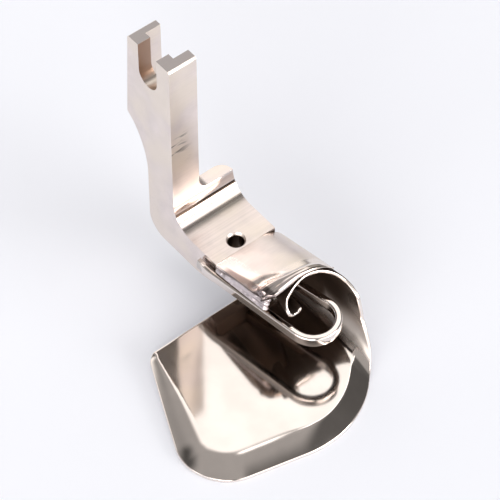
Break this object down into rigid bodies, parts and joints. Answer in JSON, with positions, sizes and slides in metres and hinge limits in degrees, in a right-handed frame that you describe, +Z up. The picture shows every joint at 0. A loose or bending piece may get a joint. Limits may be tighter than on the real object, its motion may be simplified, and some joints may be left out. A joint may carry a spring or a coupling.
{
  "type": "sewing machine presser foot",
  "caption": "Rigid hemming presser foot with a slotted clamp shank, a sole with a needle hole, and a polished scroll with a wide lip plate that rolls a fabric edge round a looped tongue.",
  "frame": {"origin": "on the needle axis, at the level of the flat underside of the sole", "axes": "+X to the operator's right, +Y to the rear of the machine, +Z up along the needle"},
  "size_m": [0.0332, 0.0477, 0.0429],
  "materials": {
    "satin_nickel": "satin nickel plate with fine milling lines",
    "polished_nickel": "mirror-polished nickel plate",
    "solder": "smooth lumpy solder"
  },
  "bodies": {
    "root": {"shank_and_sole": "satin_nickel", "cover": "satin_nickel", "scroll_plate": "polished_nickel", "tongue": "polished_nickel", "solder_seam": "solder"}
  },
  "joints": []
}
